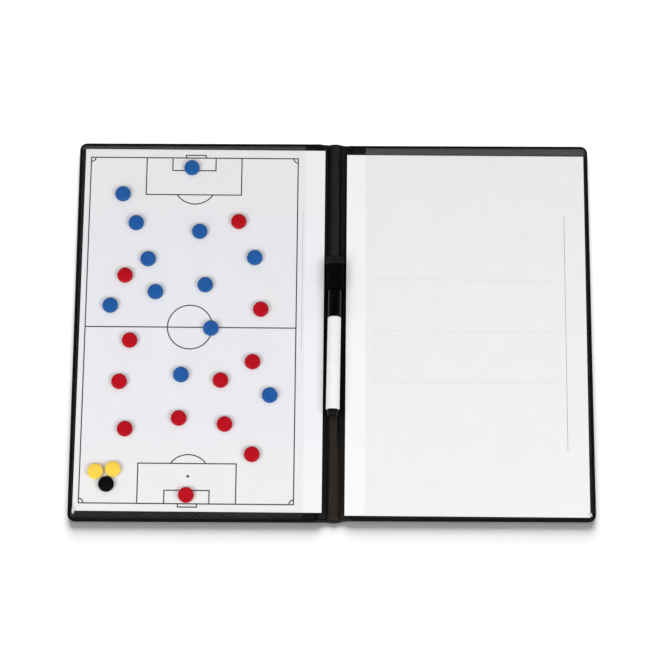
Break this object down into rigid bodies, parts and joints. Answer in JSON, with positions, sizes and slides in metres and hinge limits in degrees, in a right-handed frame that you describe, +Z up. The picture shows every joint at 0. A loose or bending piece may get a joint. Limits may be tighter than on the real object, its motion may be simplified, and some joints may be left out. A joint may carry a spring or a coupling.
{
  "type": "tactics folder",
  "caption": "Open coaching folder: a pitch sheet under clear film over steel with magnetic counters, a plain sheet opposite, hinged leaves, and a capped marker in an elastic loop on the spine.",
  "frame": {"origin": "centre of the open folder's outline, on the surface that it lies on", "axes": "+X across the two leaves, away from the pitch sheet; +Y along the spine, towards the closed end of the marker's cap; +Z up, out of the sheets"},
  "size_m": [0.458, 0.3458, 0.0175],
  "materials": {
    "pvc_skin": "satin",
    "pvc_lining": "satin",
    "greyboard": "matte",
    "steel_sheet": "satin",
    "printed_sheet": "matte",
    "clear_film": "gloss",
    "elastic": "matte",
    "marker_black": "gloss",
    "marker_white": "gloss",
    "felt": "matte",
    "ink_fibre": "matte",
    "counter_blue": "satin",
    "counter_red": "satin",
    "counter_yellow": "satin",
    "counter_black": "satin"
  },
  "bodies": {
    "spine": {"spine_cover": "pvc_skin", "spine_board": "greyboard", "spine_lining": "pvc_lining", "left_hinge_strip": "pvc_skin", "right_hinge_strip": "pvc_skin", "pen_loop": "elastic"},
    "left_leaf": {"left_cover": "pvc_skin", "left_board": "greyboard", "left_steel_sheet": "steel_sheet", "left_lining": "pvc_lining", "left_insert": "printed_sheet", "left_pocket": "clear_film"},
    "right_leaf": {"right_cover": "pvc_skin", "right_board": "greyboard", "right_lining": "pvc_lining", "right_insert": "printed_sheet", "right_pocket": "clear_film"},
    "pen_cap": {"pen_cap": "marker_black"},
    "pen_body": {"pen_barrel": "marker_white", "pen_end_plug": "marker_black", "pen_nib": "felt", "pen_nib_holder": "marker_white", "pen_reservoir": "ink_fibre"},
    "counter_blue_01": {"counter_blue_01": "counter_blue"},
    "counter_blue_02": {"counter_blue_02": "counter_blue"},
    "counter_blue_03": {"counter_blue_03": "counter_blue"},
    "counter_blue_04": {"counter_blue_04": "counter_blue"},
    "counter_blue_05": {"counter_blue_05": "counter_blue"},
    "counter_blue_06": {"counter_blue_06": "counter_blue"},
    "counter_blue_07": {"counter_blue_07": "counter_blue"},
    "counter_blue_08": {"counter_blue_08": "counter_blue"},
    "counter_blue_09": {"counter_blue_09": "counter_blue"},
    "counter_blue_10": {"counter_blue_10": "counter_blue"},
    "counter_blue_11": {"counter_blue_11": "counter_blue"},
    "counter_blue_12": {"counter_blue_12": "counter_blue"},
    "counter_red_01": {"counter_red_01": "counter_red"},
    "counter_red_02": {"counter_red_02": "counter_red"},
    "counter_red_03": {"counter_red_03": "counter_red"},
    "counter_red_04": {"counter_red_04": "counter_red"},
    "counter_red_05": {"counter_red_05": "counter_red"},
    "counter_red_06": {"counter_red_06": "counter_red"},
    "counter_red_07": {"counter_red_07": "counter_red"},
    "counter_red_08": {"counter_red_08": "counter_red"},
    "counter_red_09": {"counter_red_09": "counter_red"},
    "counter_red_10": {"counter_red_10": "counter_red"},
    "counter_red_11": {"counter_red_11": "counter_red"},
    "counter_red_12": {"counter_red_12": "counter_red"},
    "counter_yellow_01": {"counter_yellow_01": "counter_yellow"},
    "counter_yellow_02": {"counter_yellow_02": "counter_yellow"},
    "counter_black_01": {"counter_black_01": "counter_black"}
  },
  "joints": [
    {"name": "left_fold", "type": "hinge", "parent": "spine", "child": "left_leaf", "pos_m": [-0.0098, 0, 0.0042], "axis": [0, -1, 0], "range_deg": [-90, 0], "deforming": ["left_hinge_strip"]},
    {"name": "right_fold", "type": "hinge", "parent": "spine", "child": "right_leaf", "pos_m": [0.0128, 0, 0.0042], "axis": [0, 1, 0], "range_deg": [-90, 0], "deforming": ["right_hinge_strip"]},
    {"name": "pen_slide", "type": "slide", "parent": "spine", "child": "pen_cap", "axis": [-0.0126, -0.9999, 0], "range_m": [0, 0.24]},
    {"name": "cap_pull", "type": "slide", "parent": "pen_cap", "child": "pen_body", "axis": [-0.0126, -0.9999, 0], "range_m": [0, 0.06]},
    {"name": "counter_blue_01_lift", "type": "slide", "parent": "left_leaf", "child": "counter_blue_01", "axis": [0, 0, 1], "range_m": [0, 0.03]},
    {"name": "counter_blue_02_lift", "type": "slide", "parent": "left_leaf", "child": "counter_blue_02", "axis": [0, 0, 1], "range_m": [0, 0.03]},
    {"name": "counter_blue_03_lift", "type": "slide", "parent": "left_leaf", "child": "counter_blue_03", "axis": [0, 0, 1], "range_m": [0, 0.03]},
    {"name": "counter_blue_04_lift", "type": "slide", "parent": "left_leaf", "child": "counter_blue_04", "axis": [0, 0, 1], "range_m": [0, 0.03]},
    {"name": "counter_blue_05_lift", "type": "slide", "parent": "left_leaf", "child": "counter_blue_05", "axis": [0, 0, 1], "range_m": [0, 0.03]},
    {"name": "counter_blue_06_lift", "type": "slide", "parent": "left_leaf", "child": "counter_blue_06", "axis": [0, 0, 1], "range_m": [0, 0.03]},
    {"name": "counter_blue_07_lift", "type": "slide", "parent": "left_leaf", "child": "counter_blue_07", "axis": [0, 0, 1], "range_m": [0, 0.03]},
    {"name": "counter_blue_08_lift", "type": "slide", "parent": "left_leaf", "child": "counter_blue_08", "axis": [0, 0, 1], "range_m": [0, 0.03]},
    {"name": "counter_blue_09_lift", "type": "slide", "parent": "left_leaf", "child": "counter_blue_09", "axis": [0, 0, 1], "range_m": [0, 0.03]},
    {"name": "counter_blue_10_lift", "type": "slide", "parent": "left_leaf", "child": "counter_blue_10", "axis": [0, 0, 1], "range_m": [0, 0.03]},
    {"name": "counter_blue_11_lift", "type": "slide", "parent": "left_leaf", "child": "counter_blue_11", "axis": [0, 0, 1], "range_m": [0, 0.03]},
    {"name": "counter_blue_12_lift", "type": "slide", "parent": "left_leaf", "child": "counter_blue_12", "axis": [0, 0, 1], "range_m": [0, 0.03]},
    {"name": "counter_red_01_lift", "type": "slide", "parent": "left_leaf", "child": "counter_red_01", "axis": [0, 0, 1], "range_m": [0, 0.03]},
    {"name": "counter_red_02_lift", "type": "slide", "parent": "left_leaf", "child": "counter_red_02", "axis": [0, 0, 1], "range_m": [0, 0.03]},
    {"name": "counter_red_03_lift", "type": "slide", "parent": "left_leaf", "child": "counter_red_03", "axis": [0, 0, 1], "range_m": [0, 0.03]},
    {"name": "counter_red_04_lift", "type": "slide", "parent": "left_leaf", "child": "counter_red_04", "axis": [0, 0, 1], "range_m": [0, 0.03]},
    {"name": "counter_red_05_lift", "type": "slide", "parent": "left_leaf", "child": "counter_red_05", "axis": [0, 0, 1], "range_m": [0, 0.03]},
    {"name": "counter_red_06_lift", "type": "slide", "parent": "left_leaf", "child": "counter_red_06", "axis": [0, 0, 1], "range_m": [0, 0.03]},
    {"name": "counter_red_07_lift", "type": "slide", "parent": "left_leaf", "child": "counter_red_07", "axis": [0, 0, 1], "range_m": [0, 0.03]},
    {"name": "counter_red_08_lift", "type": "slide", "parent": "left_leaf", "child": "counter_red_08", "axis": [0, 0, 1], "range_m": [0, 0.03]},
    {"name": "counter_red_09_lift", "type": "slide", "parent": "left_leaf", "child": "counter_red_09", "axis": [0, 0, 1], "range_m": [0, 0.03]},
    {"name": "counter_red_10_lift", "type": "slide", "parent": "left_leaf", "child": "counter_red_10", "axis": [0, 0, 1], "range_m": [0, 0.03]},
    {"name": "counter_red_11_lift", "type": "slide", "parent": "left_leaf", "child": "counter_red_11", "axis": [0, 0, 1], "range_m": [0, 0.03]},
    {"name": "counter_red_12_lift", "type": "slide", "parent": "left_leaf", "child": "counter_red_12", "axis": [0, 0, 1], "range_m": [0, 0.03]},
    {"name": "counter_yellow_01_lift", "type": "slide", "parent": "left_leaf", "child": "counter_yellow_01", "axis": [0, 0, 1], "range_m": [0, 0.03]},
    {"name": "counter_yellow_02_lift", "type": "slide", "parent": "left_leaf", "child": "counter_yellow_02", "axis": [0, 0, 1], "range_m": [0, 0.03]},
    {"name": "counter_black_01_lift", "type": "slide", "parent": "left_leaf", "child": "counter_black_01", "axis": [0, 0, 1], "range_m": [0, 0.03]}
  ]
}
